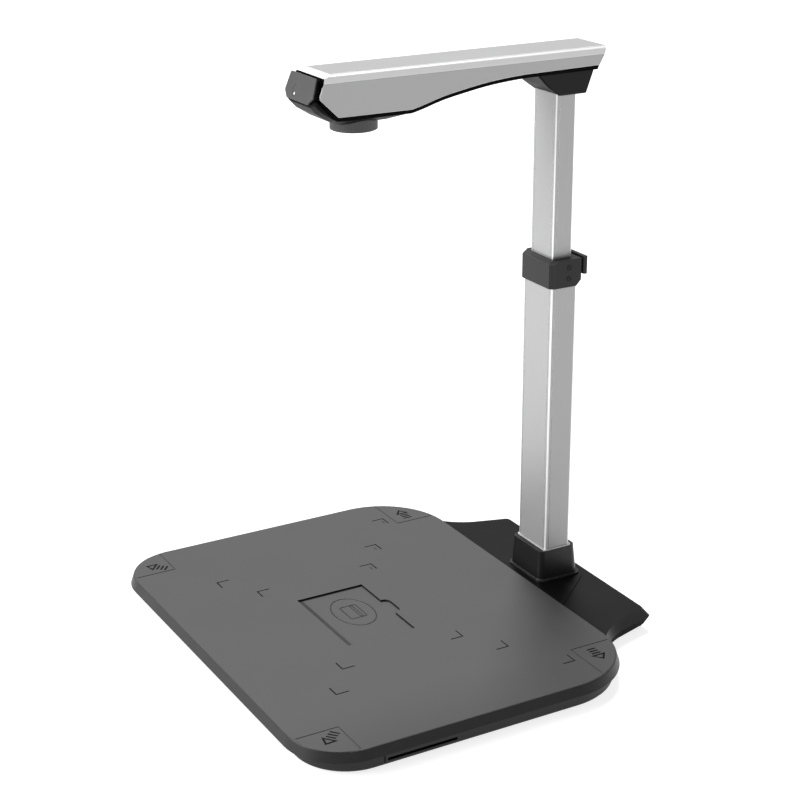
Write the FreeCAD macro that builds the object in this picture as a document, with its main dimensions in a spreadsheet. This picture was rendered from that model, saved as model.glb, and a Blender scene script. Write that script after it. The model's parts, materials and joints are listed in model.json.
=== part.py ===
import FreeCAD
import Part
import math
import os

os.makedirs("parts", exist_ok=True)
doc = FreeCAD.newDocument("document_camera")
V = FreeCAD.Vector

# ---- driving dimensions, millimetres -------------------------------------------------------------
# Every sub-part is drawn about the page centre on top of the pad, and its Placement moves it to the
# part's own origin: the middle of the footprint, on the table.
dims = {
    "page_y": -38.1, "pad_top": 20,                    # page centre seen from the origin
    "pad_wide": 361, "pad_front": -129.2, "pad_back": 148.3, "front_corner": 43, "rear_corner": 60,
    "cover_high": 7.9, "cover_draft": 19, "cover_skin": 2.6, "cover_wall": 3,
    "mark_deep": 0.5, "mark_arm": 11, "mark_line": 1.1,
    "card_long": 87, "card_front": -31.2, "card_back": 27, "card_deep": 1.6, "notch_deep": 6,
    "tray_wide": 361, "tray_front": -124.5, "tray_back": 146, "tray_corner": 41,
    "tray_high": 9.5, "tray_wall": 2.2, "seam_high": 0.6, "seam_deep": 1.5,
    "slot_y": -45.7, "slot_long": 60, "slot_lip": 0.9, "slot_gap": 2.2,
    "foot_high": 2.6, "foot_radius": 9,
    "bracket_front": 149.1, "bracket_back": 208.2, "bracket_wide": 259, "bracket_top": -2.8,
    "bracket_low": -15.9, "bracket_bevel": 6, "floor_thick": 1.5,
    "column_y": 174.5, "lower_wide": 39.2, "lower_deep": 24, "lower_wall": 1.6, "lower_top": 260,
    "lower_foot": -12.9, "groove_from": 2.7, "groove_wide": 0.7, "groove_deep": 0.35,
    "upper_wide": 30.2, "upper_deep": 18.2, "upper_wall": 1.5, "upper_foot": 132, "upper_top": 403,
    "slide_gap": 0.3,
    "collar_top": 24, "collar_wide": 46.4, "collar_front": 156, "collar_back": 194,
    "clamp_low": 246, "clamp_high": 22, "clamp_wide": 44, "clamp_front": 160, "clamp_back": 187.9,
    "clamp_bevel": 3.3, "lever_x": -16, "lever_y": 191.1, "lever_end": 23.4, "lever_thick": 4,
    "pin_radius": 1.5, "pin_fit": 0.05,
    "neck_wide": 36, "neck_low": 394.5, "neck_top": 411.7,
    "swivel_y": 172, "post_radius": 7,
    "arm_wide": 45, "arm_top": 429.3, "arm_wall": 1.6, "arm_strip": 2.8,
    "cap_tilt": 18.5, "cap_thick": 1.2, "bezel_thick": 1.7, "cap_y": -41.3, "cap_z": 414,
    "window_radius": 5.2, "light_radius": 0.9,
    "barrel_radius": 17, "barrel_low": 385, "barrel_high": 12, "barrel_y": 2,
}
sheet = doc.addObject("Spreadsheet::Sheet", "Sheet")
for row, (alias, value) in enumerate(dims.items(), start=1):
    sheet.set("A%d" % row, alias)
    sheet.set("B%d" % row, str(value))
    sheet.setAlias("B%d" % row, alias)
doc.recompute()


def size(alias):
    return float(sheet.get(alias))


parts = []


# ---- helpers -------------------------------------------------------------------------------------
def keep(item, label):
    item.Label = label
    item.setExpression(".Placement.Base.y", "Sheet.page_y + (%s)" % item.Placement.Base.y)
    item.setExpression(".Placement.Base.z", "Sheet.pad_top + (%s)" % item.Placement.Base.z)
    parts.append(item)
    return item


def newBody(label):
    return keep(doc.addObject("PartDesign::Body", label), label)


def rounded(points):
    """lines and arcs of a closed outline; each point is (a, b) or (a, b, radius)"""
    corners = []
    count = len(points)
    for i, point in enumerate(points):
        here = V(point[0], point[1], 0)
        radius = point[2] if len(point) > 2 else 0
        if not radius:
            corners.append((here, here, None))
            continue
        before = V(*points[i - 1][:2], 0) - here
        after = V(*points[(i + 1) % count][:2], 0) - here
        before.normalize()
        after.normalize()
        half = before.getAngle(after) / 2
        back = radius / math.tan(half)
        middle = before + after
        middle.normalize()
        centre = here + middle * (radius / math.sin(half))
        corners.append((here + before * back, here + after * back, centre - middle * radius))
    shapes = []
    for i, (start, end, middle) in enumerate(corners):
        if middle is not None:
            shapes.append(Part.Arc(start, middle, end))
        following = corners[(i + 1) % count][0]
        if end.distanceToPoint(following) > 1e-6:
            shapes.append(Part.LineSegment(end, following))
    return shapes


def box2(x0, y0, x1, y1, radius=0):
    return rounded([(x0, y0, radius), (x1, y0, radius), (x1, y1, radius), (x0, y1, radius)])


def panel(half, low, high, frontCorner, rearCorner):
    """outline of the pad or its tray: the rear corners are rounder than the front ones"""
    return rounded([(-half, low, frontCorner), (half, low, frontCorner), (half, high, rearCorner),
                    (-half, high, rearCorner)])


def drawOn(body, role, shapes, offset=0):
    plane = [item for item in body.Origin.OriginFeatures if item.Role == role][0]
    sketch = body.newObject("Sketcher::SketchObject", body.Name + "_outline")
    sketch.AttachmentSupport = [(plane, "")]
    sketch.MapMode = "FlatFace"
    sketch.AttachmentOffset = FreeCAD.Placement(V(0, 0, offset), FreeCAD.Rotation())
    sketch.addGeometry(shapes, False)
    return sketch


def pad(body, sketch, length, middle=False, taper=0):
    feature = body.newObject("PartDesign::Pad", body.Name + "_pad")
    feature.Profile = sketch
    feature.setExpression("Length", length)
    feature.Midplane = middle
    feature.TaperAngle = taper
    doc.recompute()
    return feature


def pocket(body, sketch, length, middle=False, reverse=False):
    before = body.Shape.Volume
    feature = body.newObject("PartDesign::Pocket", body.Name + "_pocket")
    feature.Profile = sketch
    feature.setExpression("Length", length)
    feature.Midplane = middle
    feature.Reversed = reverse
    doc.recompute()
    if body.Shape.Volume > before - 1e-3:
        raise RuntimeError("%s: a pocket cut nothing" % body.Label)
    return feature


def loft(body, sketches):
    feature = body.newObject("PartDesign::AdditiveLoft", body.Name + "_loft")
    feature.Profile = sketches[0]
    feature.Sections = sketches[1:]
    feature.Ruled = True
    doc.recompute()
    return feature


def edgesAt(body, test):
    return ["Edge%d" % n for n, edge in enumerate(body.Tip.Shape.Edges, start=1) if test(edge)]


def soften(body, kind, amount, test):
    base = body.Tip
    chosen = edgesAt(body, test)
    feature = body.newObject("PartDesign::" + kind, body.Name + "_" + kind.lower())
    feature.Base = (base, chosen)
    if kind == "Fillet":
        feature.Radius = amount
    else:
        feature.Size = amount
    doc.recompute()
    return feature


def flatAt(edge, z):
    box = edge.BoundBox
    return abs(box.ZMin - z) < 0.02 and abs(box.ZMax - z) < 0.02


def solid(label, shape):
    item = doc.addObject("Part::Feature", label)
    item.Shape = shape
    return keep(item, label)


def block(label, low, high):
    item = doc.addObject("Part::Box", label)
    item.Length, item.Width, item.Height = [high[i] - low[i] for i in range(3)]
    item.Placement.Base = V(*low)
    return keep(item, label)


def screws(label, places, head, shank, direction=V(0, 0, 1)):
    """a set of screws: head and shank are (radius, length); each starts at the outside of its head"""
    made = []
    for place in places:
        start = V(*place)
        body = Part.makeCylinder(head[0], head[1], start, direction)
        drive = Part.makeCylinder(head[0] * 0.45, head[1] * 0.5, start, direction)
        stem = Part.makeCylinder(shank[0], shank[1], start + direction * head[1], direction)
        made.append(body.cut(drive).fuse(stem).removeSplitter())
    return solid(label, Part.makeCompound(made))


halfPad = size("pad_wide") / 2
columnY = size("column_y")


# ---- pad -----------------------------------------------------------------------------------------
def pageMark(x, y, sideX, sideY):
    """an engraved L whose corner is the page corner"""
    arm = size("mark_arm")
    line = size("mark_line")
    points = [(0, 0), (arm, 0), (arm, line), (line, line), (line, arm), (0, arm)]
    turned = [(x - sideX * a, y - sideY * b) for a, b in points]
    return rounded(turned if sideX * sideY > 0 else turned[::-1])


def cornerArrow(sideX, sideY):
    """open arrowhead with three bars behind it: the front ones point at the corner, the rear ones sideways"""
    middle = V(sideX * 155.5, -104.5, 0) if sideY < 0 else V(sideX * 147, 125, 0)
    out = V(sideX * 0.65, -0.76, 0) if sideY < 0 else V(sideX, 0, 0)
    side = V(-out.y, out.x, 0)

    def at(along, across):
        point = middle + out * along + side * across
        return (point.x, point.y)

    outlines = rounded([at(10, 0), at(1.6, 6.4), at(1.6, -6.4)])
    outlines += rounded([at(7.5, 0), at(3.1, 3.35), at(3.1, -3.35)])
    for start in (0, -3.4, -6.8):
        outlines += rounded([at(start - 1.6, -3.8), at(start, -3.8), at(start, 3.8), at(start - 1.6, 3.8)])
    return outlines


def makePadCover():
    body = newBody("pad_cover")
    low, high = size("pad_front"), size("pad_back")
    outline = panel(halfPad, low, high, size("front_corner"), size("rear_corner"))
    cover = pad(body, drawOn(body, "XY_Plane", outline), "Sheet.cover_high", taper=size("cover_draft"))
    cover.Reversed = True
    doc.recompute()
    soften(body, "Fillet", 1.1, lambda edge: flatAt(edge, 0))
    # the rear edge is upright, where the bracket meets it
    pocket(body, drawOn(body, "XY_Plane", box2(-200, high + 0.01, 200, high + 12), 1), "20")
    # the rim is as wide as the tray below needs
    wall, corner = size("cover_wall"), size("tray_corner")
    inside = panel(halfPad - wall, size("tray_front") + wall, size("tray_back") - wall, corner - wall,
                   size("rear_corner") - wall)
    pocket(body, drawOn(body, "XY_Plane", inside, -size("cover_high")),
           "Sheet.cover_high - Sheet.cover_skin", reverse=True)

    # card recess, with a thumb notch in its back edge
    half = size("card_long") / 2
    front, back = size("card_front"), size("card_back")
    notch = back + size("notch_deep")
    recess = rounded([(-half, front), (half, front), (half, back), (13, back), (13, notch, 5.5),
                      (-11, notch, 5.5), (-11, back), (-half, back)])
    pocket(body, drawOn(body, "XY_Plane", recess), "Sheet.card_deep")

    # page corners, for three page sizes that share one centre
    marks = []
    for sideX in (-1, 1):
        marks += pageMark(sideX * 148.5, 105, sideX, 1)
        for sideY in (-1, 1):
            marks += pageMark(sideX * 105, sideY * 74, sideX, sideY)
            marks += pageMark(sideX * 74, sideY * 52.5, sideX, sideY)
            marks += cornerArrow(sideX, sideY)
    pocket(body, drawOn(body, "XY_Plane", marks), "Sheet.mark_deep")

    # a fine line boxes off each corner
    wide = 0.5
    for sideX in (-1, 1):
        for nearX, y, farX, endY in ((145, -93.2, 178.5, low + 2.5), (133, 111, 174, 144.5)):
            x = sideX * nearX
            across = sorted((x, sideX * farX))
            along = sorted((y, endY))
            for line in (box2(across[0], y - wide, across[1], y + wide),
                         box2(x - wide, along[0], x + wide, along[1])):
                pocket(body, drawOn(body, "XY_Plane", line), "Sheet.mark_deep * 0.7")


def makePadTray():
    body = newBody("pad_tray")
    half = size("tray_wide") / 2
    low, high, corner, rear = size("tray_front"), size("tray_back"), size("tray_corner"), size("rear_corner")
    floor = -size("cover_high") - size("tray_high")
    outline = panel(half, low, high, corner, rear)
    pad(body, drawOn(body, "XY_Plane", outline, floor), "Sheet.tray_high - Sheet.seam_high")
    soften(body, "Fillet", 2, lambda edge: flatAt(edge, floor))
    # a narrower step leaves a shadow gap under the cover
    gap = size("seam_deep")
    step = panel(half - gap, low + gap, high - gap, corner - gap, rear - gap)
    pad(body, drawOn(body, "XY_Plane", step, floor + 4), "Sheet.tray_high - 4")
    wall = size("tray_wall")
    inside = panel(half - wall, low + wall, high - wall, corner - wall, rear - wall)
    pocket(body, drawOn(body, "XY_Plane", inside, -size("cover_high")), "Sheet.tray_high - Sheet.tray_wall")
    # window for the card slot, in the right-hand wall
    slotY, reach = size("slot_y"), size("slot_long") / 2
    window = box2(slotY - reach, -15.4, slotY + reach, -8.7)
    pocket(body, drawOn(body, "YZ_Plane", window, half - 6), "10", reverse=True)


def makeCardSlot():
    half = size("tray_wide") / 2
    reach = size("slot_long") / 2 - 0.1
    slotY = size("slot_y")
    body = newBody("card_slot_bezel")
    face = box2(slotY - reach, -15.3, slotY + reach, -8.8, 0.8)
    pad(body, drawOn(body, "YZ_Plane", face, half - 7), "7 + Sheet.slot_lip")
    slot = box2(slotY - 28, -13.6, slotY + 28, -13.6 + size("slot_gap"))
    pocket(body, drawOn(body, "YZ_Plane", slot, half - 8), "12", reverse=True)
    reader = newBody("card_reader")
    pad(reader, drawOn(reader, "YZ_Plane", box2(slotY - 31, -15.1, slotY + 31, -8.6, 1), half - 70), "62.5")
    pocket(reader, drawOn(reader, "YZ_Plane", slot, half - 60), "60", reverse=True)


def makePadInside():
    block("antenna_board", (-43, -28, -4.2), (43, 28, -3.2))
    board = Part.makeBox(92, 62, 1.6, V(-150, 62, -14))
    for x, y, wide, deep, high in ((-130, 80, 14, 14, 1.6), (-100, 100, 9, 9, 1.4), (-85, 72, 18, 8, 3)):
        board = board.fuse(Part.makeBox(wide, deep, high, V(x, y, -12.4)))
    for x in (-146, -62):
        for y in (66, 120):
            board = board.cut(Part.makeCylinder(1.6, 4, V(x, y, -15)))
    solid("main_board", board.removeSplitter())
    floor = -size("cover_high") - size("tray_high")
    places = [(x, y, floor) for x in (-150, 0, 150) for y in (-98, 128)]
    screws("tray_screws", places, (3, 2), (1.5, 10))
    # two straps under the seam join the tray to the bracket
    thick = 1.5
    straps, strapScrews = [], []
    for side in (-1, 1):
        straps.append(Part.makeBox(60, 46, thick, V(side * 75 - 30, 122, floor - thick)))
        strapScrews += [(side * x, y, floor - thick - 0.9) for x in (60, 90) for y in (132, 160)]
    solid("joining_straps", Part.makeCompound(straps))
    screws("strap_screws", strapScrews, (2.6, 0.9), (1.25, 4.4))
    feet = []
    for x, y in ((-150, -80), (150, -80), (-150, 108), (150, 108), (-80, 180), (80, 180)):
        foot = Part.makeCylinder(size("foot_radius"), size("foot_high"), V(x, y, floor - size("foot_high")))
        feet.append(foot.makeFillet(0.6, [foot.Edges[2]]))
    solid("rubber_feet", Part.makeCompound(feet))


# ---- rear bracket and column socket --------------------------------------------------------------
def bracketOutline(inset=0, front=None):
    """plan of the bracket: wide at the pad, drawn in by a hollow curve, then straight to the back"""
    wide = size("bracket_wide") / 2 - inset
    front = size("bracket_front") if front is None else front
    back = size("bracket_back") - inset
    waist, curveEnd, corner = V(wide - 8.5, front + 9.1, 0), V(wide - 17, front + 25, 0), 5
    shapes = [Part.LineSegment(V(-wide, front, 0), V(wide, front, 0))]
    for side in (1, -1):
        endX = wide - 24.5
        knots = [V(wide, front, 0), waist, curveEnd, V(endX, back - corner, 0), V(endX - corner, back, 0)]
        a, b, c, d, e = [V(side * p.x, p.y, 0) for p in knots]
        middle = V(side * (endX - corner * 0.29), back - corner * 0.29, 0)
        run = [Part.Arc(a, b, c), Part.LineSegment(c, d), Part.Arc(d, middle, e)]
        if side > 0:
            shapes += run + [Part.LineSegment(e, V(-e.x, e.y, 0))]
        else:
            shapes += run[::-1]
    return shapes


def makeBracket():
    body = newBody("bracket_cover")
    low, top = size("bracket_low"), size("bracket_top")
    front = size("bracket_front")
    edge = top - size("bracket_bevel")
    for inset, level in ((4.5, top), (3, low)):
        widest = drawOn(body, "XY_Plane", bracketOutline(), edge)
        loft(body, [widest, drawOn(body, "XY_Plane", bracketOutline(inset), level)])
    pocket(body, drawOn(body, "XY_Plane", bracketOutline(7, front + 3), low - 0.01),
           "Sheet.bracket_top - Sheet.bracket_low - 2.5", reverse=True)
    fan = rounded([(-66, front), (66, front), (26, 196, 6), (-26, 196, 6)])
    pad(body, drawOn(body, "XY_Plane", fan, top - 0.5), "1.3")
    hole = box2(-19.9, columnY - 12.3, 19.9, columnY + 12.3, 1.5)
    pocket(body, drawOn(body, "XY_Plane", hole), "12")
    socket = box2(43.3, -13.2, 52.7, -9.6, 1.5)
    pocket(body, drawOn(body, "XZ_Plane", socket, -size("bracket_back") - 1), "12", reverse=True)
    floor = newBody("bracket_floor")
    pad(floor, drawOn(floor, "XY_Plane", bracketOutline(4), low - size("floor_thick")), "Sheet.floor_thick")
    port = newBody("usb_socket")
    pad(port, drawOn(port, "XZ_Plane", box2(43.4, -13.1, 52.6, -9.7, 1.4), -size("bracket_back") + 0.4), "9")
    pocket(port, drawOn(port, "XZ_Plane", box2(43.9, -12.6, 52.1, -10.2, 1.1), -size("bracket_back") + 0.4),
           "7", reverse=True)


def makeSocket():
    low = size("lower_foot")
    plate = newBody("column_mount_plate")
    pad(plate, drawOn(plate, "XY_Plane", box2(-34, columnY - 19, 34, columnY + 19, 4), low - 3), "3")
    plug = newBody("column_foot_plug")
    fit = size("lower_wall") + 0.05
    innerX, innerY = size("lower_wide") / 2 - fit, size("lower_deep") / 2 - fit
    outline = box2(-innerX, columnY - innerY, innerX, columnY + innerY, 1.5)
    pad(plug, drawOn(plug, "XY_Plane", outline, low), "16")
    hole = Part.Circle(V(0, columnY, 0), V(0, 0, 1), 4)
    pocket(plug, drawOn(plug, "XY_Plane", [hole], low - 1), "30", reverse=True)
    places = [(x, columnY + y, low - 5) for x in (-11, 11) for y in (-6, 6)]
    screws("mount_screws", places, (3, 2), (1.9, 14))

    collar = newBody("column_collar")
    base = size("bracket_top") + 0.8
    foot = drawOn(collar, "XY_Plane", box2(-size("collar_wide") / 2, size("collar_front"),
                  size("collar_wide") / 2, size("collar_back"), 6), base)
    head = drawOn(collar, "XY_Plane", box2(-21.1, 157.6, 21.1, 191.3, 4.5), size("collar_top"))
    loft(collar, [foot, head])
    lip = box2(-25, 154.8, 25, 196, 7)
    pad(collar, drawOn(collar, "XY_Plane", lip, base), "1.7")
    bore = box2(-19.7, columnY - 12.1, 19.7, columnY + 12.1, 1.5)
    pocket(collar, drawOn(collar, "XY_Plane", bore, base - 1), "40", reverse=True)


# ---- column --------------------------------------------------------------------------------------
def makeTube(label, wide, deep, wall, low, length, frontCorner, rearCorner):
    body = newBody(label)
    half, front, back = wide / 2, columnY - deep / 2, columnY + deep / 2
    outline = rounded([(-half, front, frontCorner), (half, front, frontCorner), (half, back, rearCorner),
                       (-half, back, rearCorner)])
    inside = box2(-half + wall, front + wall, half - wall, back - wall, 0.4)
    pad(body, drawOn(body, "XY_Plane", outline + inside, low), length)
    # a fine groove runs up each face beside the front corners
    start, wide, deep = size("groove_from"), size("groove_wide"), size("groove_deep")
    grooves = []
    for side in (-1, 1):
        inner = sorted((side * (half - start), side * (half - start - wide)))
        outer = sorted((side * (half - deep), side * (half + 1)))
        grooves += box2(inner[0], front - 1, inner[1], front + deep)
        grooves += box2(outer[0], front + start, outer[1], front + start + wide)
    pocket(body, drawOn(body, "XY_Plane", grooves, low - 1), "450", reverse=True)


def makeColumn():
    makeTube("lower_column", size("lower_wide"), size("lower_deep"), size("lower_wall"), size("lower_foot"),
             "Sheet.lower_top - Sheet.lower_foot", 1.6, 3)
    makeTube("upper_column", size("upper_wide"), size("upper_deep"), size("upper_wall"), size("upper_foot"),
             "Sheet.upper_top - Sheet.upper_foot", 1.2, 2.2)
    boreX = size("lower_wide") / 2 - size("lower_wall")
    boreY = size("lower_deep") / 2 - size("lower_wall")
    gap = size("slide_gap")
    bush = newBody("guide_bush")
    slideX, slideY = size("upper_wide") / 2 + gap, size("upper_deep") / 2 + gap
    hole = box2(-slideX, columnY - slideY, slideX, columnY + slideY, 1.3)
    sleeve = box2(-boreX + 0.05, columnY - boreY + 0.05, boreX - 0.05, columnY + boreY - 0.05, 1.4)
    pad(bush, drawOn(bush, "XY_Plane", sleeve + hole, size("lower_top") - 30), "30")
    flange = box2(-19, columnY - 11.5, 19, columnY + 11.5, 2.5)
    pad(bush, drawOn(bush, "XY_Plane", flange + hole, size("lower_top")), "2")
    shoe = newBody("slide_shoe")
    outer = box2(-boreX + gap, columnY - boreY + gap, boreX - gap, columnY + boreY - gap, 1.2)
    pad(shoe, drawOn(shoe, "XY_Plane", outer, size("upper_foot") - 4), "4")
    innerX = size("upper_wide") / 2 - size("upper_wall") - 0.05
    innerY = size("upper_deep") / 2 - size("upper_wall") - 0.05
    pad(shoe, drawOn(shoe, "XY_Plane", box2(-innerX, columnY - innerY, innerX, columnY + innerY, 0.5),
        size("upper_foot")), "14")
    pocket(shoe, drawOn(shoe, "XY_Plane", [Part.Circle(V(0, columnY, 0), V(0, 0, 1), 3.5)],
           size("upper_foot") - 5), "30", reverse=True)


# ---- height clamp --------------------------------------------------------------------------------
def makeClamp():
    low, high = size("clamp_low"), size("clamp_high")
    half, front, back = size("clamp_wide") / 2, size("clamp_front"), size("clamp_back")
    bevel = size("clamp_bevel")
    top = low + high
    body = newBody("clamp_collar")
    outline = rounded([(-half, back), (-half, front + bevel), (-half + bevel, front), (half - bevel, front),
                       (half, front + bevel), (half, back)])
    pad(body, drawOn(body, "XY_Plane", outline, low), "Sheet.clamp_high")
    soften(body, "Chamfer", 2.4, lambda edge: flatAt(edge, top) and edge.BoundBox.YMax < back - 1)
    # lower rear corners are cut off
    wedge = rounded([(back + 0.1, low - 0.1), (back - 4.5, low - 0.1), (back + 0.1, low + 4.5)])
    pocket(body, drawOn(body, "YZ_Plane", wedge), "60", middle=True)
    bore = box2(-19.7, columnY - 12.1, 19.7, columnY + 12.1, 1.5)
    pocket(body, drawOn(body, "XY_Plane", bore, low - 1), "17.2", reverse=True)
    slideX, slideY = size("upper_wide") / 2 + 0.5, size("upper_deep") / 2 + 0.5
    throat = box2(-slideX, columnY - slideY, slideX, columnY + slideY, 1.4)
    pocket(body, drawOn(body, "XY_Plane", throat, low - 1), "40", reverse=True)
    # two lugs behind carry the lever's pin
    leverX, leverY = size("lever_x"), size("lever_y")
    for start in (low + 2, top - 4):
        lug = rounded([(leverX - 4, back - 1), (leverX + 4, back - 1), (leverX + 4, leverY + 3.4, 2.5),
                       (leverX - 4, leverY + 3.4, 2.5)])
        pad(body, drawOn(body, "XY_Plane", lug, start), "4")
    pin = [Part.Circle(V(leverX, leverY, 0), V(0, 0, 1), size("pin_radius"))]
    pocket(body, drawOn(body, "XY_Plane", pin, low - 1), "30", reverse=True)
    # seat for the brake pad, through the rear wall
    seat = box2(-6.2, 262.4, 6.2, 266.6)
    pocket(body, drawOn(body, "XZ_Plane", seat, -back - 1), "6.5", reverse=True)

    makeLever(low, leverX, leverY)
    pinBody = doc.addObject("Part::Cylinder", "lever_pin")
    pinBody.setExpression("Radius", "Sheet.pin_radius")
    pinBody.setExpression("Height", "Sheet.clamp_high - 2.2")
    pinBody.Placement.Base = V(leverX, leverY, low + 2.1)
    keep(pinBody, "lever_pin")
    block("brake_pad", (-6, columnY + slideY + 0.1, 262.5), (6, back, 266.5))
    places = [(half + 0.3, 177, z) for z in (low + 6.6, low + 15.3)]
    screws("clamp_screws", places, (2.2, 1.3), (1.25, 3.2), V(-1, 0, 0))


def makeLever(low, leverX, leverY):
    lever = newBody("clamp_lever")
    thick = size("lever_thick") / 2 - 0.2
    knuckle = Part.Circle(V(leverX, leverY, 0), V(0, 0, 1), 2.6)
    hole = Part.Circle(V(leverX, leverY, 0), V(0, 0, 1), size("pin_radius") + size("pin_fit"))
    pad(lever, drawOn(lever, "XY_Plane", [knuckle, hole], low + 6.4), "11.2")
    web = box2(leverX + 2, leverY - thick, leverX + 9, leverY + thick)
    pad(lever, drawOn(lever, "XY_Plane", web, low + 6.4), "11.2")
    plate = box2(leverX + 7, leverY - thick, size("lever_end"), leverY + thick, 1.2)
    pad(lever, drawOn(lever, "XY_Plane", plate, low + 9), "14")


# ---- neck and swivel -----------------------------------------------------------------------------
def makeNeck():
    body = newBody("neck_block")
    low, top = size("neck_low"), size("neck_top")
    profile = rounded([(146.5, top), (155.5, low + 8, 30), (167, low, 2), (190.6, low, 1.5), (197, top)])
    pad(body, drawOn(body, "YZ_Plane", profile), "Sheet.neck_wide", middle=True)
    soften(body, "Fillet", 1.6, lambda edge: edge.BoundBox.XLength < 0.01 and edge.BoundBox.ZMax < top - 0.1)
    fitX, fitY = size("upper_wide") / 2 + 0.05, size("upper_deep") / 2 + 0.05
    pocketShape = box2(-fitX, columnY - fitY, fitX, columnY + fitY, 1.2)
    pocket(body, drawOn(body, "XY_Plane", pocketShape, low - 1), "Sheet.upper_top - Sheet.neck_low + 1.1",
           reverse=True)
    swivelY = size("swivel_y")
    post = [Part.Circle(V(0, swivelY, 0), V(0, 0, 1), size("post_radius"))]
    pocket(body, drawOn(body, "XY_Plane", post, top + 1), "20")
    screws("neck_screws", [(x, 194.7, 399.5) for x in (-9, 9)], (2.4, 1.6), (1.4, 9), V(0, -1, 0))

    radius = size("post_radius")
    shank = Part.makeCylinder(radius, 14, V(0, swivelY, 403.4))
    head = Part.makeCylinder(10.5, 2.4, V(0, swivelY, 417.4))
    bore = Part.makeCylinder(4.2, 30, V(0, swivelY, 400))
    solid("swivel_post", shank.fuse(head).cut(bore).removeSplitter())
    washer = Part.makeCylinder(10.2, 0.5, V(0, swivelY, 416.9)).cut(
        Part.makeCylinder(radius + 0.02, 2, V(0, swivelY, 416)))
    solid("swivel_washer", washer)
    sleeve = Part.makeCylinder(9, 3, V(0, swivelY, 412.6))
    flange = Part.makeCylinder(11.5, 1.4, V(0, swivelY, 415.2))
    hole = Part.makeCylinder(radius + 0.05, 10, V(0, swivelY, 410))
    solid("swivel_bush", sleeve.fuse(flange).cut(hole).removeSplitter())


# ---- arm -----------------------------------------------------------------------------------------
# Underside of the silver shell, from the front: a short chin, the flat over the lens, then a long
# curve up to the thin rear of the arm.
def undersideCurve(drop):
    knots = [(37, 398.9), (46, 401), (60, 405), (79.4, 408.9), (98.7, 412), (118, 413.9), (134, 414.8)]
    curve = Part.BSplineCurve()
    curve.interpolate([V(y, z - drop, 0) for y, z in knots])
    return curve


def armProfile(drop, front, back, top):
    """closed side outline: front and back are lists of points, drop lowers the underside"""
    curve = undersideCurve(drop)
    start, end = curve.StartPoint, curve.EndPoint
    points = [end] + [V(y, z, 0) for y, z in back] + [V(y, z, 0) for y, z in top]
    points += [V(y, z, 0) for y, z in front] + [start]
    shapes = [Part.LineSegment(a, b) for a, b in zip(points, points[1:])]
    return shapes + [curve]


def makeArmShell():
    body = newBody("arm_shell")
    top = size("arm_top")
    front = [(-31.7, top - 2.4), (-36.2, 413.2), (-21.6, 399.2)]
    shell = armProfile(0, front, [(198.4, 415.8)], [(205.8, top), (-26, top)])
    pad(body, drawOn(body, "YZ_Plane", shell), "Sheet.arm_wide", middle=True)
    soften(body, "Fillet", 2.5, lambda edge: edge.BoundBox.XLength > 40 and
           (abs(edge.BoundBox.YMin + 36.2) < 0.2 or abs(edge.BoundBox.YMin + 21.6) < 0.2))
    # the top edges fall away in two bevels
    half = size("arm_wide") / 2
    edges = []
    for side in (1, -1):
        corner = [(17, top + 1), (17, top, 4), (20.9, top - 1.5, 2), (half, top - 5.6, 3), (half, top - 9),
                  (half + 1, top - 9), (half + 1, top + 1)]
        edges += rounded([(side * point[0], *point[1:]) for point in corner])
    pocket(body, drawOn(body, "XZ_Plane", edges), "900", middle=True)
    # hollow, in two widths that follow the bevelled top
    wall = size("arm_wall")
    wide = rounded([(-45, 380), (196.8, 380), (196.8, 415.8), (199.7, top - 5), (-45, top - 5)])
    narrow = rounded([(-45, 380), (196.8, 380), (196.8, 415.8), (200.8, top - wall), (-25.3, top - wall),
                      (-31.3, top - wall - 2.5), (-45, top - wall - 2.5)])
    pocket(body, drawOn(body, "YZ_Plane", wide), "Sheet.arm_wide - 2 * Sheet.arm_wall", middle=True)
    pocket(body, drawOn(body, "YZ_Plane", narrow), "Sheet.arm_wide - 8.4", middle=True)


def makeArmHousing():
    body = newBody("arm_housing")
    strip = size("arm_strip")
    top = 422.5
    front = [(-33.5, 411.4), (-22.6, 396.6)]
    outer = armProfile(strip, front, [(196, 412.9)], [(196.3, top), (-26.5, top)])
    pad(body, drawOn(body, "YZ_Plane", outer), "Sheet.arm_wide - 2 * Sheet.arm_wall - 0.4", middle=True)
    # the visible lip runs just under the silver shell's edge
    upper, lower = undersideCurve(0.1), undersideCurve(strip)
    nose = [upper.StartPoint, V(-21.7, 399.1, 0), V(-34.2, 411.1, 0), V(-35.2, 409.7, 0), V(-22.5, 396.4, 0),
            lower.StartPoint]
    tail = [upper.EndPoint, V(198.3, 415.7, 0), V(197, 412.6, 0), lower.EndPoint]
    lip = [upper, lower] + [Part.LineSegment(a, b) for run in (nose, tail) for a, b in zip(run, run[1:])]
    pad(body, drawOn(body, "YZ_Plane", lip), "Sheet.arm_wide - 1", middle=True)
    hollow = armProfile(0, [(-24, 409), (-19.6, 399.2)], [(194, 415.1)], [(194, 440), (-24, 440)])
    pocket(body, drawOn(body, "YZ_Plane", hollow), "37", middle=True)
    hole = [Part.Circle(V(0, size("swivel_y"), 0), V(0, 0, 1), 9.05)]
    pocket(body, drawOn(body, "XY_Plane", hole, 411), "8", reverse=True)
    lens = [Part.Circle(V(0, size("barrel_y"), 0), V(0, 0, 1), size("barrel_radius") + 0.1)]
    pocket(body, drawOn(body, "XY_Plane", lens, 390), "12", reverse=True)


def podSection(y, top, wideZ, wide, lowZ, low):
    right = [V(low, y, lowZ), V(wide, y, wideZ), V(19, y, top)]
    points = [V(-point.x, y, point.z) for point in right[::-1]] + right
    return Part.makePolygon(points + points[:1])


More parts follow.
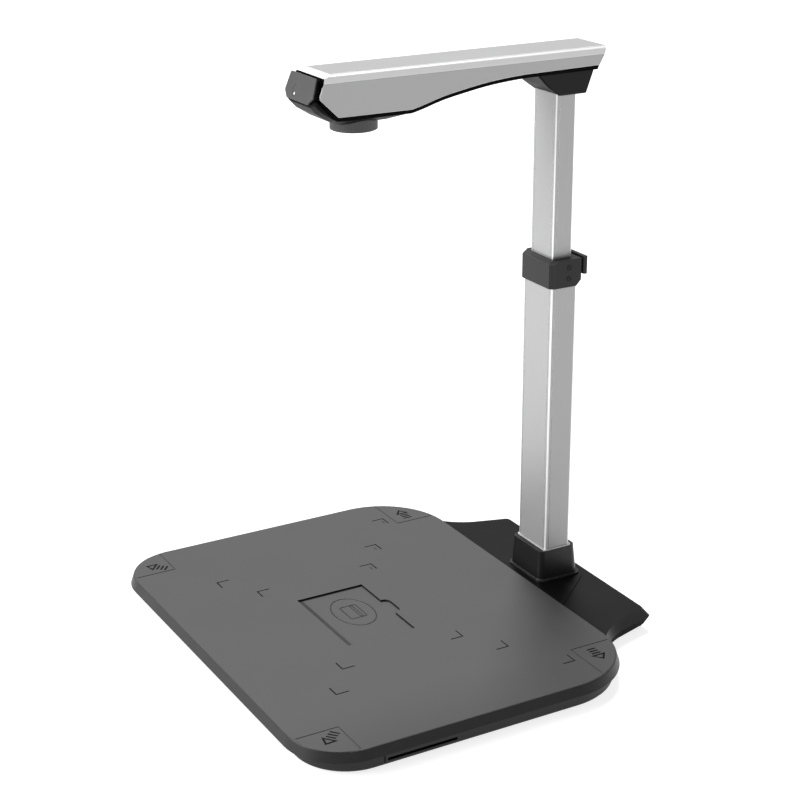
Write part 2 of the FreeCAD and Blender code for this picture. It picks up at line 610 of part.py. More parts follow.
def makePod():
    """chin and lens mount: tapers from the front cap to the lens, then stays level"""
    stations = [(-44, 423, 413, 22.2, 410.5, 16.2), (-35.5, 413, 404.5, 21.9, 401.7, 15.8),
                (-25, 404, 397.6, 21.9, 395.2, 15), (-16, 401, 396.2, 21.9, 392.2, 14.5),
                (20, 401, 396.2, 21.9, 392.6, 14.8), (37, 401.5, 396.7, 21.9, 395.7, 19)]
    shape = Part.makeLoft([podSection(*station) for station in stations], True, True)
    face = V(0, size("cap_y"), size("cap_z"))
    cutter = Part.makeBox(80, 20, 80, V(-40, -20, -40))
    cutter.rotate(V(0, 0, 0), V(1, 0, 0), -size("cap_tilt"))
    cutter.translate(face + V(0, size("cap_thick") + size("bezel_thick") + 0.2, 0))
    shape = shape.cut(cutter)
    shape = shape.cut(Part.makeBox(80, 40, 40, V(-40, -60, 411.2)))
    # room for the front bezel and for everything inside the arm
    wire = Part.Wire(Part.__sortEdges__([item.toShape() for item in capOutline(1.7)]))
    room = Part.Face(wire).extrude(V(0, 0, -9))
    room.Placement = FreeCAD.Placement(face, capTilt())
    shape = shape.cut(room)
    cavity = [(-37.8, 411.7), (-22.6, 396.15), (36.9, 396.1), (46, 398), (46, 440), (-30, 440)]
    inside = [V(-30, y, z) for y, z in cavity]
    shape = shape.cut(Part.Face(Part.makePolygon(inside + inside[:1])).extrude(V(60, 0, 0)))
    barrel = Part.makeCylinder(size("barrel_radius") + 0.05, 30, V(0, size("barrel_y"), 380))
    solid("camera_pod", shape.cut(barrel).removeSplitter())


def capTilt():
    return FreeCAD.Rotation(V(1, 0, 0), 90 - size("cap_tilt"))


def capOutline(inset):
    half = 22.3 - inset
    low, wide, top = -4.9 + inset, 0.2 + inset * 0.3, 14.1 - inset
    return rounded([(-16.2 + inset * 0.4, low, 2), (16.2 - inset * 0.4, low, 2), (half, wide, 3),
                    (half - 1.6, top, 2.2), (1.6 - half, top, 2.2), (-half, wide, 3)])


def makeCap():
    tilt = capTilt()
    thick, plate = size("cap_thick"), size("bezel_thick")
    cap = rounded([(-15.7, -4.9, 2), (15.7, -4.9, 2), (21.4, 0.2, 3), (19.2, 14, 2.2), (-19.2, 14, 2.2),
                   (-21.4, 0.2, 3)])
    window, light = V(-5.1, 2, -thick), V(-6.3, -0.5, -thick)
    radius, small = size("window_radius"), size("light_radius")
    eye = [Part.Circle(V(window.x, window.y, 0), V(0, 0, 1), radius + 0.05)]

    def tilted(label, layers):
        body = doc.addObject("PartDesign::Body", label)
        for shapes, start, length in layers:
            pad(body, drawOn(body, "XY_Plane", shapes, -start - length), str(length))
        body.Placement = FreeCAD.Placement(V(0, size("cap_y"), size("cap_z")), tilt)
        return keep(body, label)

    tilted("front_cap", [(cap + eye, 0, thick)])
    # the bezel is a plate that stands out round the cap, with a plug that sits in the pod
    tilted("front_bezel", [(capOutline(0.5), thick, plate), (capOutline(1.8), thick + plate, 3.8)])
    disc = Part.makeCylinder(radius, thick - 0.2, window)
    disc = disc.cut(Part.makeCylinder(small + 0.05, thick, light))
    lamp = Part.makeCylinder(small, thick, light)
    for label, shape in (("front_window", disc), ("status_light", lamp)):
        shape.Placement = FreeCAD.Placement(V(0, size("cap_y"), size("cap_z")), tilt)
        solid(label, shape)


def makeCamera():
    low, radius, y = size("barrel_low"), size("barrel_radius"), size("barrel_y")
    ring = Part.makeCylinder(radius, size("barrel_high"), V(0, y, low))
    ring = ring.makeChamfer(0.8, [edge for edge in ring.Edges if flatAt(edge, low)])
    ring = ring.cut(Part.makeCylinder(radius - 2, 30, V(0, y, low - 1)))
    shelf = Part.makeCylinder(radius - 1.5, 1.2, V(0, y, low + 3.2)).cut(
        Part.makeCylinder(radius - 3.2, 3, V(0, y, low + 3)))
    solid("lens_barrel", ring.fuse(shelf).removeSplitter())
    solid("lens_window", Part.makeCylinder(radius - 2.1, 1.2, V(0, y, low + 2)))
    board = Part.makeCylinder(14.8, 1, V(0, y, low + 9)).cut(Part.makeCylinder(8, 3, V(0, y, low + 8)))
    for number in range(8):
        angle = math.radians(45 * number)
        centre = V(11.4 * math.cos(angle), y + 11.4 * math.sin(angle), low + 8.3)
        board = board.fuse(Part.makeBox(2.6, 2.6, 0.7, centre - V(1.3, 1.3, 0)))
    solid("led_board", board.removeSplitter())
    holder = Part.makeBox(22, 22, 9, V(-11, y - 11, 402.6))
    neck = Part.makeCylinder(7.2, 13, V(0, y, low + 5.2))
    hollow = Part.makeCylinder(5.25, 4, V(0, y, low + 5.1))
    solid("camera_module", holder.fuse(neck).cut(hollow).removeSplitter())
    solid("camera_lens", Part.makeCylinder(5.2, 3, V(0, y, low + 6)).fuse(
        Part.makeCone(3.2, 5.2, 0.8, V(0, y, low + 5.2))).removeSplitter())
    block("camera_board", (-17, -14, 411.7), (17, 52, 413.3))
    wire = doc.addObject("Part::Cylinder", "arm_wire")
    wire.Radius = 1.5
    wire.Height = 108
    wire.Placement = FreeCAD.Placement(V(0, 52.2, 418.2), FreeCAD.Rotation(V(1, 0, 0), -90))
    keep(wire, "arm_wire")
    screws("arm_screws", [(x, yy, z) for x in (-13, 13) for yy, z in ((112, 410.6), (188.5, 412.1))],
           (2.2, 1.2), (1.2, 6))


makePadCover()
makePadTray()
makeCardSlot()
makePadInside()
makeBracket()
makeSocket()
makeColumn()
makeClamp()
makeNeck()
makeArmShell()
makeArmHousing()
makePod()
makeCap()
makeCamera()

doc.recompute()
bad = 0
for item in doc.Objects:
    if "Invalid" in item.State or "Error" in item.State:
        print("STATE", item.Label, item.State)
        bad += 1
for item in parts:
    shape = item.Shape
    fine = not shape.isNull() and shape.isValid() and shape.Solids
    if not fine:
        print("BAD SHAPE", item.Label)
        bad += 1
        continue
    box = shape.BoundBox
    spans = (box.XMin, box.XMax, box.YMin, box.YMax, box.ZMin, box.ZMax)
    print("%-20s solids %d  volume %9.1f" % (item.Label, len(shape.Solids), shape.Volume),
          " x %.1f..%.1f  y %.1f..%.1f  z %.1f..%.1f" % spans)
    shape.exportStep("parts/%s.step" % item.Label)
print("nodes", len(parts), "faults", bad)
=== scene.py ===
import bpy
import json
import math
from mathutils import Matrix, Vector


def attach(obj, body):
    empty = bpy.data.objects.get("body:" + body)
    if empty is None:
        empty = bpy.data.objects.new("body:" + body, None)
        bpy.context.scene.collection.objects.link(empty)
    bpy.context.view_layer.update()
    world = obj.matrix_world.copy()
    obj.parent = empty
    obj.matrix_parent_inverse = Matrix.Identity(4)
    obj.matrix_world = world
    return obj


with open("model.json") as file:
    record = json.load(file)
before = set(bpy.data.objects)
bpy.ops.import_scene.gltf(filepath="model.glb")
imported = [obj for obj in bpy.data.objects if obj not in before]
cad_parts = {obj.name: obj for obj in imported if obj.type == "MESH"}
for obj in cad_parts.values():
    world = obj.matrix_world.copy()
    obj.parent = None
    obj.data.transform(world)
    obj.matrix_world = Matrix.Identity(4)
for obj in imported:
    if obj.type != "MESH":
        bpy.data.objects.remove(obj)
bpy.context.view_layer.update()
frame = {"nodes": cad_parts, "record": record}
nodes = frame["nodes"]
scene = bpy.context.scene
print("frame loaded:", len(nodes), "nodes")

mm = 0.001


# colours are written as sRGB hex and turned to the linear values that shaders use
def linear(hexColour):
    channels = [int(hexColour[i:i + 2], 16) / 255 for i in (1, 3, 5)]
    return [c / 12.92 if c <= 0.04045 else ((c + 0.055) / 1.055) ** 2.4 for c in channels] + [1.0]


# one node with its settings and links; a socket is told by its name, or by its number where names repeat
def addNode(tree, kind, settings=None, links=None):
    node = tree.nodes.new(kind)
    for name, value in (settings or {}).items():
        if isinstance(name, int) or name in node.inputs:
            node.inputs[name].default_value = value
        else:
            setattr(node, name, value)
    for name, source in (links or {}).items():
        tree.links.new(source, node.inputs[name])
    return node


def newMaterial(name):
    material = bpy.data.materials.new(name)
    material.use_nodes = True
    tree = material.node_tree
    tree.nodes.clear()
    return material, tree


def objectPoint(tree, stretch=(1, 1, 1)):
    coords = addNode(tree, "ShaderNodeTexCoord")
    mapping = addNode(tree, "ShaderNodeMapping", {"Scale": stretch}, {"Vector": coords.outputs["Object"]})
    return mapping.outputs["Vector"]


def finishMaterial(tree, shader):
    addNode(tree, "ShaderNodeOutputMaterial", links={"Surface": shader.outputs[0]})


# how much of an edge a place is, from 0 to most: there the rounded normal leaves the flat one
def edgeShare(tree, rounded, fullAt, most):
    geometry = addNode(tree, "ShaderNodeNewGeometry")
    facing = addNode(tree, "ShaderNodeVectorMath", {"operation": "DOT_PRODUCT"},
                     {0: rounded.outputs["Normal"], 1: geometry.outputs["Normal"]})
    share = addNode(tree, "ShaderNodeMapRange",
                    {"From Min": 0.995, "From Max": fullAt, "To Min": 0.0, "To Max": most},
                    {"Value": facing.outputs["Value"]})
    return share.outputs["Result"]


# moulded plastic: a fine sparked grain from the mould, slight mottling, and edges painted a little brighter
# as a painted highlight
def mouldedPlastic(name, colour, grain=0.35, bump=0.25, rough=0.5, roughSwing=0.08, coat=0.0, edge=0.25,
                   bevel=0.35, specular=0.5, edgeHighlightColour=None):
    material, tree = newMaterial(name)
    point = objectPoint(tree)
    grains = addNode(tree, "ShaderNodeTexNoise", {"Scale": 1 / (grain * mm), "Detail": 2.0, "Roughness": 0.6},
                     {"Vector": point})
    clouds = addNode(tree, "ShaderNodeTexNoise", {"Scale": 1 / (38 * mm), "Detail": 4.0}, {"Vector": point})
    rounded = addNode(tree, "ShaderNodeBevel", {"samples": 4, "Radius": bevel * mm})
    relief = addNode(tree, "ShaderNodeBump", {"Strength": bump, "Distance": 0.05 * mm},
                     {"Height": grains.outputs["Fac"], "Normal": rounded.outputs["Normal"]})
    base = linear(colour)
    lighter = linear(edgeHighlightColour) if edgeHighlightColour else [min(1.0, c * 2.2 + 0.02) for c in base[:3]] + [1]
    mottle = addNode(tree, "ShaderNodeMapRange",
                     {"From Min": 0.3, "From Max": 0.7, "To Min": 0.94, "To Max": 1.06},
                     {"Value": clouds.outputs["Fac"]})
    toned = addNode(tree, "ShaderNodeMix", {"data_type": "RGBA", "blend_type": "MULTIPLY", 0: 1.0, 6: base},
                    {7: mottle.outputs["Result"]})
    # painted highlight: edges are mixed towards the lighter colour
    edgeHighlighted = addNode(tree, "ShaderNodeMix", {"data_type": "RGBA", 7: lighter},
                   {0: edgeShare(tree, rounded, 0.8, edge), 6: toned.outputs[2]})
    gloss = addNode(tree, "ShaderNodeMapRange",
                    {"From Min": 0.1, "From Max": 0.9, "To Min": rough - roughSwing,
                     "To Max": rough + roughSwing},
                    {"Value": clouds.outputs["Fac"]})
    shader = addNode(tree, "ShaderNodeBsdfPrincipled",
                     {"IOR": 1.53, "Specular IOR Level": specular, "Coat Weight": coat,
                      "Coat Roughness": 0.08},
                     {"Base Color": edgeHighlighted.outputs[2], "Roughness": gloss.outputs["Result"],
                      "Normal": relief.outputs["Normal"]})
    finishMaterial(tree, shader)
    return material


# satin metal: brushed or anodised grain drawn along one axis, with edges painted lighter as a painted
# highlight
def satinMetal(name, colour, stretch=(1, 1, 0.02), grain=0.4, bump=0.08, rough=0.38, roughSwing=0.05,
               metallic=1.0, bevel=0.3, edge=0.0, edgeColour="#ffffff"):
    material, tree = newMaterial(name)
    point = objectPoint(tree, stretch)
    lines = addNode(tree, "ShaderNodeTexNoise", {"Scale": 1 / (grain * mm), "Detail": 3.0}, {"Vector": point})
    clouds = addNode(tree, "ShaderNodeTexNoise", {"Scale": 1 / (60 * mm), "Detail": 3.0},
                     {"Vector": objectPoint(tree)})
    rounded = addNode(tree, "ShaderNodeBevel", {"samples": 4, "Radius": bevel * mm})
    relief = addNode(tree, "ShaderNodeBump", {"Strength": bump, "Distance": 0.03 * mm},
                     {"Height": lines.outputs["Fac"], "Normal": rounded.outputs["Normal"]})
    tone = addNode(tree, "ShaderNodeMapRange",
                   {"From Min": 0.3, "From Max": 0.7, "To Min": 0.97, "To Max": 1.03},
                   {"Value": lines.outputs["Fac"]})
    toned = addNode(tree, "ShaderNodeMix",
                    {"data_type": "RGBA", "blend_type": "MULTIPLY", 0: 1.0, 6: linear(colour)},
                    {7: tone.outputs["Result"]})
    # painted highlight: edges are mixed towards edgeColour
    bright = addNode(tree, "ShaderNodeMix", {"data_type": "RGBA", 7: linear(edgeColour)},
                     {0: edgeShare(tree, rounded, 0.85, edge), 6: toned.outputs[2]})
    gloss = addNode(tree, "ShaderNodeMapRange",
                    {"From Min": 0.1, "From Max": 0.9, "To Min": rough - roughSwing,
                     "To Max": rough + roughSwing},
                    {"Value": clouds.outputs["Fac"]})
    shader = addNode(tree, "ShaderNodeBsdfPrincipled", {"Metallic": metallic},
                     {"Base Color": bright.outputs[2], "Roughness": gloss.outputs["Result"],
                      "Normal": relief.outputs["Normal"]})
    finishMaterial(tree, shader)
    return material


# coated glass: clear, with faint smears that soften the shine here and there
def clearGlass(name, colour, rough=0.02):
    material, tree = newMaterial(name)
    smears = addNode(tree, "ShaderNodeTexNoise", {"Scale": 1 / (9 * mm), "Detail": 4.0},
                     {"Vector": objectPoint(tree)})
    gloss = addNode(tree, "ShaderNodeMapRange", {"From Min": 0.35, "From Max": 0.75, "To Min": rough,
                    "To Max": rough + 0.05}, {"Value": smears.outputs["Fac"]})
    shader = addNode(tree, "ShaderNodeBsdfPrincipled", {"Base Color": linear(colour), "IOR": 1.5,
                     "Transmission Weight": 0.85, "Coat Weight": 0.6, "Coat Roughness": 0.02},
                     {"Roughness": gloss.outputs["Result"]})
    finishMaterial(tree, shader)
    return material


# spark grained ABS of the pad: an even matt sheet; the grain is drawn coarser than it is, to show
grainedAbs = mouldedPlastic("charcoalGrainedAbs", "#3a3a3b", grain=0.5, bump=0.3, rough=0.55, roughSwing=0.03,
                          specular=0.3)
# satin ABS of the trays: smoother and darker than the pad; also painted shade on the pad's sides and mark
# walls and in the strip along the recess
satinAbsAndShade = mouldedPlastic("darkSatinAbsAndShade", "#1e1e1f", grain=0.35, bump=0.2, rough=0.42, specular=0.25)
# satin ABS of the clamp, its edges painted lighter as a painted highlight
clampAbs = mouldedPlastic("clampSatinAbs", "#222223", grain=0.35, bump=0.15, rough=0.36, specular=0.2,
                          edge=0.7, bevel=0.5, edgeHighlightColour="#5c5c5d")
# the clamp's front bevel, painted lighter as a painted highlight, its edges lighter still
clampBevelHighlight = mouldedPlastic("clampBevelHighlightAbs", "#3a3a3b", grain=0.35, bump=0.15, rough=0.36, specular=0.3,
                             edge=0.7, bevel=0.5, edgeHighlightColour="#8a8a8b")
# polished black ABS: deep black with a soft sheen
glossAbs = mouldedPlastic("blackGlossAbs", "#0b0b0c", grain=1.2, bump=0.03, rough=0.34, roughSwing=0.04,
                          specular=0.1)
# the bracket's bevel, painted lighter: a painted highlight line round the black
bracketBevelHighlight = mouldedPlastic("glossBevelHighlight", "#2a2a2b", grain=1.2, bump=0.03, rough=0.32, roughSwing=0.04,
                          specular=0.3)
# polished collar at the foot of the column, with painted highlights on its edges
collarAbs = mouldedPlastic("collarGlossAbs", "#161617", grain=1.2, bump=0.03, rough=0.32, roughSwing=0.04,
                           specular=0.3, edge=0.8, bevel=0.6, edgeHighlightColour="#6a6a6b")
# dull black ABS of seams and undersides, nearly without shine; where it is laid on the bracket's lower faces
# and the shell's front rim it is painted shade
blackAbsAndShade = mouldedPlastic("blackMattAbs", "#030303", grain=0.6, bump=0.1, rough=0.7, edge=0.0, specular=0.05)
# satin black ABS of the neck and chin
neckAbs = mouldedPlastic("blackSatinAbs", "#161617", grain=0.35, bump=0.15, rough=0.5, edge=0.15,
                         specular=0.15)
# painted shade: the front and lower faces of the neck and chin, darker still
neckChinShade = mouldedPlastic("blackNeckChinShade", "#0b0b0c", grain=0.35, bump=0.15, rough=0.5, edge=0.0,
                          specular=0.1)
# matt black painted shade in the floors of the cut page marks
markShade = mouldedPlastic("blackMarkShade", "#050505", grain=0.4, bump=0.1, rough=0.7, edge=0.0, specular=0.1)
# mid grey satin ABS of the front cap, with a painted highlight on its rim
capAbs = mouldedPlastic("greyCapAbs", "#464647", grain=0.3, bump=0.15, rough=0.4, edge=0.7, bevel=0.3,
                        edgeHighlightColour="#8c8c8d")
# satin ABS of the lens barrel
barrelAbs = mouldedPlastic("barrelAbs", "#353536", grain=0.3, bump=0.15, rough=0.4, edge=0.4)
# silver lacquer on the arm: fine flakes, soft shine, painted highlights on its edges
silverPaint = satinMetal("silverLacquer", "#a0a0a1", stretch=(1, 1, 1), grain=0.12, bump=0.05, rough=0.3,
                         roughSwing=0.03, metallic=0.3, bevel=0.5, edge=1.0)
# the same lacquer painted lighter on the arm's flat top: painted light from above
silverLitTop = satinMetal("silverLacquerLitTop", "#bcbcbd", stretch=(1, 1, 1), grain=0.12, bump=0.05, rough=0.3,
                       roughSwing=0.03, metallic=0.3)
# painted highlight: a thin white line on the bevels and corners that catch the light
bevelHighlight = satinMetal("bevelHighlightEdge", "#f4f4f4", stretch=(1, 1, 1), grain=0.12, bump=0.03, rough=0.3,
                       roughSwing=0.03, metallic=0.2, bevel=0.4)
# anodised aluminium: grain drawn along the column, painted highlights on its corners
anodised = satinMetal("anodisedAluminium", "#a4a4a5", rough=0.4, metallic=0.4, edge=0.9, bevel=0.4)
# polished aluminium trim, a bright thin ring
trimRing = satinMetal("brightTrim", "#e4e4e4", rough=0.25, metallic=0.4)
# zinc plated steel: pale, cool and fairly shiny
zincSteel = satinMetal("zincPlatedSteel", "#b9b9b6", stretch=(1, 1, 1), rough=0.3)
# black oxide on the screws: dark metal with a dull shine
blackSteel = satinMetal("blackOxideSteel", "#2a2a2b", stretch=(1, 1, 1), rough=0.3)
# silicone rubber: dull and a little rough
siliconeRubber = mouldedPlastic("siliconeRubber", "#1b1b1c", grain=0.6, bump=0.3, rough=0.75, edge=0.1)
# coated glass of the window and lenses
coatedGlass = clearGlass("coatedGlass", "#dfe6ea")
# solder mask on the boards: green with a clear coat
circuitBoard = mouldedPlastic("greenSolderMask", "#0e4a2c", grain=0.8, bump=0.2, rough=0.3, coat=0.4)
# natural nylon: milky and waxy
nylon = mouldedPlastic("naturalNylon", "#d9d7cf", grain=0.6, bump=0.15, rough=0.5)
# PVC wire sleeve: smooth dull black
pvcSleeve = mouldedPlastic("pvcSleeve", "#1a1a1b", grain=0.5, bump=0.1, rough=0.45)
# frosted light pipe: white and even
lightPipe = mouldedPlastic("frostedLightPipe", "#f1f1ec", grain=0.3, bump=0.1, rough=0.3)
print("materials made")

finishes = {"charcoal": grainedAbs, "dark_grey": satinAbsAndShade, "black_gloss": glossAbs, "silver": silverPaint,
            "column": anodised, "steel": zincSteel, "rubber": siliconeRubber, "glass": coatedGlass,
            "board": circuitBoard, "nylon": nylon, "wire": pvcSleeve, "lamp": lightPipe}
ownFinish = {"front_cap": capAbs, "front_bezel": blackAbsAndShade, "arm_housing": blackAbsAndShade,
             "column_collar": collarAbs, "clamp_collar": clampAbs, "clamp_lever": clampAbs,
             "clamp_screws": blackSteel, "lens_barrel": barrelAbs, "bracket_floor": blackAbsAndShade,
             "neck_block": neckAbs, "camera_pod": neckAbs, "front_window": capAbs}
for entry in frame["record"]["subparts"]:
    node = nodes[entry["node"]]
    node.data.materials.clear()
    node.data.materials.append(ownFinish.get(entry["node"], finishes[entry["material_slot"]]))


# some faces of a node take a second or third finish, chosen by where they are and which way they face
def paintFaces(name, extra, choose):
    node = nodes[name]
    for finish in extra:
        node.data.materials.append(finish)
    turnOnly = node.matrix_world.to_3x3()
    for face in node.data.polygons:
        centre = node.matrix_world @ face.center / mm
        face.material_index = choose(centre, turnOnly @ face.normal)


# floors of the page marks and walls of the faint lines, by height above the table
coverCuts = {"markFloor": (19.4, 19.55), "lineWall": (19.8, 19.87)}


# painted shade: the pad's sides and the walls of the page marks take the darker satin ABS, the floors of the
# marks a near black
def coverFace(centre, normal):
    low, high = coverCuts["markFloor"]
    if normal.z > 0.9:
        return 2 if low < centre.z < high else 0
    # the faint lines that box off the corners are cut less deep than the marks
    low, high = coverCuts["lineWall"]
    faintLine = low < centre.z < high and abs(normal.z) < 0.1
    return 0 if normal.z > 0.6 or faintLine else 1


# the arm's shell: its front rim in painted shade, its flat top painted lighter, its upward sloping bevels a
# painted highlight line
def shellFace(centre, normal):
    if normal.y < -0.85 and centre.z > 440:
        return 2
    if normal.z > 0.98:
        return 3
    return 1 if normal.z > 0.15 else 0


# painted highlight: the small rounded corners of the column take the white bevel finish
def columnFace(centre, normal):
    return 1 if abs(normal.x) > 0.25 and abs(normal.y) > 0.25 else 0


# the bracket is gloss above, with a painted highlight on its bevel and painted shade below
def bracketFace(centre, normal):
    if normal.z < -0.02 or centre.z < 11:
        return 1
    return 2 if 0.3 < normal.z < 0.95 and abs(centre.x) > 60 else 0


# painted highlight: the clamp's front top bevel takes the lighter finish
def clampFace(centre, normal):
    return 1 if 0.3 < normal.z < 0.95 and normal.y < -0.3 else 0


# painted shade: the neck's front and lower faces take the darker black
def neckFace(centre, normal):
    return 1 if normal.y < -0.2 or normal.z < -0.9 else 0


# painted shade: the chin's lower and front faces take the darker black
def podFace(centre, normal):
    return 1 if normal.z < -0.75 or normal.y < -0.6 else 0


paintFaces("pad_cover", [satinAbsAndShade, markShade], coverFace)
paintFaces("arm_shell", [bevelHighlight, blackAbsAndShade, silverLitTop], shellFace)
paintFaces("lower_column", [bevelHighlight], columnFace)
paintFaces("upper_column", [bevelHighlight], columnFace)
paintFaces("clamp_collar", [clampBevelHighlight], clampFace)
paintFaces("neck_block", [neckChinShade], neckFace)
paintFaces("camera_pod", [neckChinShade], podFace)
paintFaces("bracket_cover", [blackAbsAndShade, bracketBevelHighlight], bracketFace)
print("finishes given")


# lengths about the page centre on top of the pad, in millimetres, to places in the frame in metres
def at(x, y, z):
    return Vector((x, y - 38.1, z + 20)) * mm


def startPiece(name):
    piece = bpy.context.object
    piece.name = name
    return piece


def applyModifier(piece, kind, **settings):
    modifier = piece.modifiers.new(kind.lower(), kind)
    for key, value in settings.items():
        setattr(modifier, key, value)
    bpy.ops.object.modifier_apply(modifier=modifier.name)


def settle(piece, finish, body):
    bpy.ops.object.transform_apply(location=True, rotation=True, scale=True)
    piece.data.materials.clear()
    piece.data.materials.append(finish)
    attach(piece, body)


# flat frame with round corners: a plane, its corners rounded, inset, opened and given thickness
def flatFrame(name, shape):
    bpy.ops.object.select_all(action="DESELECT")
    bpy.ops.mesh.primitive_plane_add(size=1, location=at(*shape["centre"]))
    piece = startPiece(name)
    bpy.ops.object.mode_set(mode="EDIT")
    bpy.ops.mesh.select_all(action="SELECT")
    bpy.ops.transform.resize(value=(shape["long"] * mm, shape["wide"] * mm, 1))
    bpy.ops.mesh.bevel(offset=shape["corner"] * mm, segments=5, affect="VERTICES")
    bpy.ops.mesh.select_all(action="SELECT")
    bpy.ops.mesh.inset(thickness=shape["line"] * mm)
    bpy.ops.mesh.delete(type="FACE")
    bpy.ops.object.mode_set(mode="OBJECT")
    applyModifier(piece, "SOLIDIFY", thickness=shape["high"] * mm, offset=1)
    return piece


# raised oval line in the floor of the card recess
oval = {"centre": (-6.9, -0.1), "start": 20, "half": (23.9, 16.1), "line": 0.4, "floor": -1.6, "low": 0.08}
bpy.ops.object.select_all(action="DESELECT")
bpy.ops.mesh.primitive_torus_add(major_segments=128, minor_segments=12, major_radius=oval["start"] * mm,
                                 minor_radius=oval["line"] * mm, location=at(*oval["centre"], oval["floor"]))
ovalLine = startPiece("ovalLine")
bpy.ops.object.mode_set(mode="EDIT")
bpy.ops.mesh.select_all(action="SELECT")
bpy.ops.transform.resize(value=(oval["half"][0] / oval["start"], oval["half"][1] / oval["start"], 0.6))
bpy.ops.transform.translate(value=(0, 0, oval["low"] * mm))
bpy.ops.object.mode_set(mode="OBJECT")
bpy.ops.object.shade_smooth()
settle(ovalLine, satinAbsAndShade, "base")

# inside it a plain picture of a card, with one stripe
card = {"centre": (-6.9, -0.1, -1.62), "long": 22, "wide": 14.5, "corner": 2, "line": 0.7, "high": 0.25}
cardPicture = flatFrame("cardPicture", card)
settle(cardPicture, satinAbsAndShade, "base")
stripe = {"centre": (-6.9, 2.6, -1.62), "long": 20, "wide": 2.6, "corner": 0.3, "line": 0.5, "high": 0.25}
cardStripe = flatFrame("cardStripe", stripe)
settle(cardStripe, satinAbsAndShade, "base")

# a thin dark strip along the front edge of the recess: a painted shadow of that edge on the recess floor
strip = {"centre": (0, -28.1, -1.6), "long": 86.4, "wide": 2.6, "corner": 0.2, "line": 1.25, "high": 0.15}
recessShadowStrip = flatFrame("recessShadowStrip", strip)
settle(recessShadowStrip, satinAbsAndShade, "base")

# short bars inside three of the page corners
markBars = {"places": ((-141.8, 101.3), (-97.6, 69.4), (-66.2, 48.2)), "long": 5, "wide": 1.1, "high": 0.12}
for number, place in enumerate(markBars["places"]):
    bpy.ops.object.select_all(action="DESELECT")
    bpy.ops.mesh.primitive_cube_add(size=1, location=at(*place, 0.02))
    bar = startPiece("markBar%d" % number)
    bpy.ops.object.mode_set(mode="EDIT")
    bpy.ops.mesh.select_all(action="SELECT")
    bpy.ops.transform.resize(value=(markBars["long"] * mm, markBars["wide"] * mm, markBars["high"] * mm))
    bpy.ops.mesh.bevel(offset=0.03 * mm, segments=2)
    bpy.ops.object.mode_set(mode="OBJECT")
    settle(bar, satinAbsAndShade, "base")

# bright trim round the foot of the column, on top of its collar
trim = {"centre": (0, 174.5, 24.0), "long": 41.2, "wide": 26, "corner": 2.4, "line": 0.85, "high": 0.7}
footTrim = flatFrame("footTrim", trim)
settle(footTrim, trimRing, "base")

# ribbed grip round the lens barrel: a cylinder opened at both ends, every other side face drawn out
grip = {"centre": (0, 2), "radius": 17.05, "low": 385.6, "high": 8.9, "wall": 0.1, "ribs": 48, "rib": 0.15}
bpy.ops.object.select_all(action="DESELECT")
bpy.ops.mesh.primitive_cylinder_add(vertices=grip["ribs"] * 2, radius=(grip["radius"] + grip["wall"]) * mm,
                                    depth=grip["high"] * mm, location=at(*grip["centre"],
                                    grip["low"] + grip["high"] / 2))
gripSleeve = startPiece("gripSleeve")
# faces are picked from here on, so the primitive's selected corners are let go first
bpy.ops.object.mode_set(mode="EDIT")
bpy.ops.mesh.select_mode(type="FACE")
bpy.ops.mesh.select_all(action="DESELECT")
bpy.ops.object.mode_set(mode="OBJECT")
for face in gripSleeve.data.polygons:
    face.select = abs(face.normal.z) > 0.9
bpy.ops.object.mode_set(mode="EDIT")
bpy.ops.mesh.inset(thickness=grip["wall"] * mm)
bpy.ops.mesh.bridge_edge_loops()
bpy.ops.mesh.select_all(action="DESELECT")
bpy.ops.object.mode_set(mode="OBJECT")
outer = (grip["radius"] + grip["wall"] * 0.5) * mm
for face in gripSleeve.data.polygons:
    flat = abs(face.normal.z) < 0.1 and math.hypot(face.center.x, face.center.y) > outer
    turnNumber = round(math.atan2(face.center.y, face.center.x) / math.pi * grip["ribs"] - 0.5)
    face.select = flat and turnNumber % 2 == 0
bpy.ops.object.mode_set(mode="EDIT")
bpy.ops.mesh.extrude_region_shrink_fatten(TRANSFORM_OT_shrink_fatten={"value": grip["rib"] * mm})
bpy.ops.object.mode_set(mode="OBJECT")
settle(gripSleeve, barrelAbs, "arm")
print("pieces made")

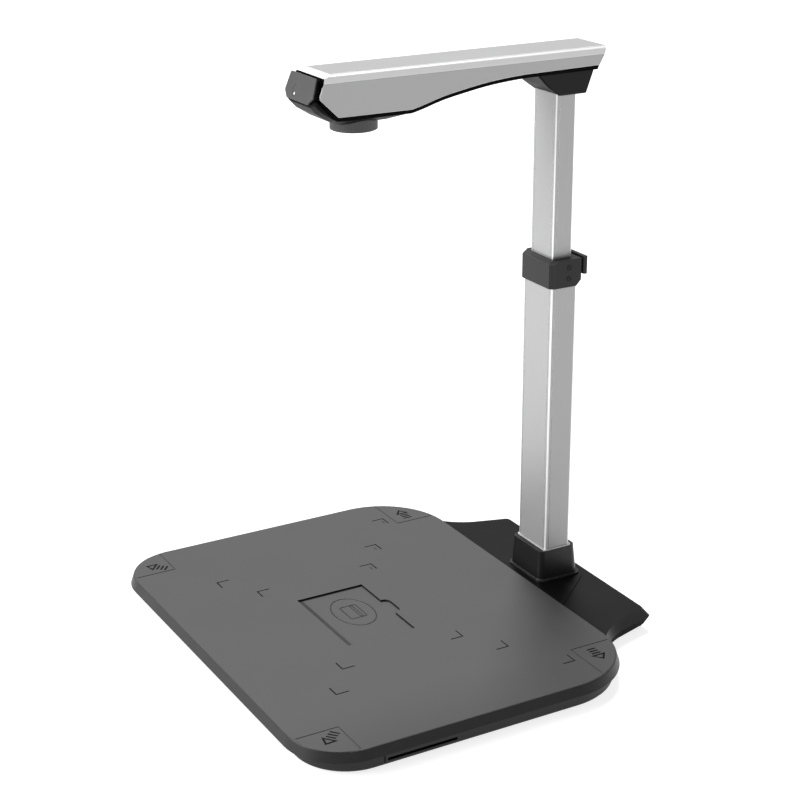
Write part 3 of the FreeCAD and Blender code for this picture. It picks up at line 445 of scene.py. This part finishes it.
# camera
view = {"place": (1.1444, -0.6439, 0.6850), "turn": 60.601, "down": 20.588, "roll": -0.2165, "lens": 82.86,
        "sensor": 36}
turn, down, roll = (math.radians(view[key]) for key in ("turn", "down", "roll"))
back = Vector((math.sin(turn) * math.cos(down), -math.cos(turn) * math.cos(down), math.sin(down)))
right = Vector((0, 0, 1)).cross(back).normalized()
up = back.cross(right)
right, up = (right * math.cos(roll) + up * math.sin(roll), up * math.cos(roll) - right * math.sin(roll))
cameraData = bpy.data.cameras.new("camera")
cameraData.lens = view["lens"]
cameraData.sensor_width = view["sensor"]
camera = bpy.data.objects.new("camera", cameraData)
camera.matrix_world = Matrix.Translation(view["place"]) @ Matrix((right, up, back)).transposed().to_4x4()
scene.collection.objects.link(camera)
scene.camera = camera
print("camera set")

# floor and light
studio = {"floor": "#aaaaaa", "floorSize": 60, "world": 0.3, "glow": 0.8}
bpy.ops.object.select_all(action="DESELECT")
bpy.ops.mesh.primitive_plane_add(size=studio["floorSize"], location=(0, 0, 0))
floor = bpy.context.object
floor.name = "floor"
floorMaterial, floorTree = newMaterial("paleFloor")
finishMaterial(floorTree, addNode(floorTree, "ShaderNodeBsdfPrincipled",
                                  {"Base Color": linear(studio["floor"]), "Roughness": 0.9,
                                   "Emission Color": (1, 1, 1, 1), "Emission Strength": studio["glow"]}))
floor.data.materials.append(floorMaterial)


# large soft lamp, far away, that shines from the given direction
def softLamp(name, towards, strength, spread):
    data = bpy.data.lights.new(name, "SUN")
    data.energy = strength
    data.angle = math.radians(spread)
    lamp = bpy.data.objects.new(name, data)
    lamp.matrix_world = Vector(towards).to_track_quat("Z", "Y").to_matrix().to_4x4()
    scene.collection.objects.link(lamp)


lamps = {"topBehind": {"towards": (-1.35, 0.6, 2.3), "strength": 3.2, "spread": 22},
         "keyFront": {"towards": (-0.5, -2.2, 1.1), "strength": 3.2, "spread": 36}}
for name, lamp in lamps.items():
    softLamp(name, **lamp)
world = bpy.data.worlds.new("studio")
scene.world = world
world.use_nodes = True
world.node_tree.nodes["Background"].inputs["Color"].default_value = (1, 1, 1, 1)
world.node_tree.nodes["Background"].inputs["Strength"].default_value = studio["world"]
scene.view_settings.view_transform = "Standard"
print("studio set")
